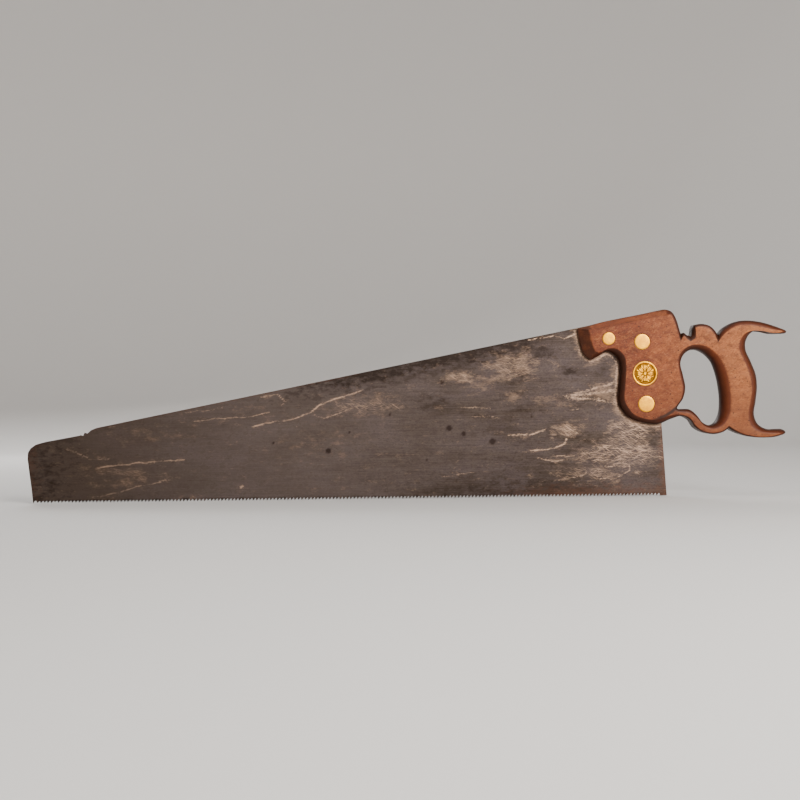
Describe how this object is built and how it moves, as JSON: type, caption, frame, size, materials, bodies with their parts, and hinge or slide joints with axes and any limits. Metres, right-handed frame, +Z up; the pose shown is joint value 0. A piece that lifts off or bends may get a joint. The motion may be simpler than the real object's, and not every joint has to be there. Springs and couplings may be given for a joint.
{
  "type": "hand saw",
  "caption": "Carpenter's hand saw with a straight-backed toothed steel blade and a carved wooden closed handle held by flush brass screws.",
  "frame": {"origin": "centre of the grip bar, on the plate's middle plane", "axes": "+X along the line of the teeth from the toe to the handle, +Y across the thickness from the medallion side to the split-nut side, +Z up, away from the teeth"},
  "size_m": [0.7918, 0.022, 0.1935],
  "materials": {
    "handle_wood": "worn oiled beech, reddish brown, satin where the hand rubs it",
    "plate_steel": "dark brown patina over lengthwise grinding lines",
    "brass": "worn satin brass",
    "medallion_brass": "struck brass, dark in the low parts"
  },
  "bodies": {
    "saw": {"handle": "handle_wood", "saw_plate": "plate_steel", "saw_bolt_1": "brass", "saw_bolt_2": "brass", "saw_bolt_3": "brass", "medallion": "medallion_brass", "medallion_bolt": "brass"},
    "nut_1": {"saw_nut_1": "brass"},
    "nut_2": {"saw_nut_2": "brass"},
    "nut_3": {"saw_nut_3": "brass"},
    "nut_4": {"medallion_nut": "brass"}
  },
  "joints": [
    {"name": "nut_1_turn", "type": "hinge", "parent": "saw", "child": "nut_1", "pos_m": [-0.1326, 0.0096, 0.0507], "axis": [0, 1, 0], "range_deg": [0, 1000]},
    {"name": "nut_2_turn", "type": "hinge", "parent": "saw", "child": "nut_2", "pos_m": [-0.098, 0.0096, 0.047], "axis": [0, 1, 0], "range_deg": [0, 1000]},
    {"name": "nut_3_turn", "type": "hinge", "parent": "saw", "child": "nut_3", "pos_m": [-0.0945, 0.0096, -0.0175], "axis": [0, 1, 0], "range_deg": [0, 1000]},
    {"name": "nut_4_turn", "type": "hinge", "parent": "saw", "child": "nut_4", "pos_m": [-0.0955, 0.0096, 0.014], "axis": [0, 1, 0], "range_deg": [0, 1000]}
  ]
}
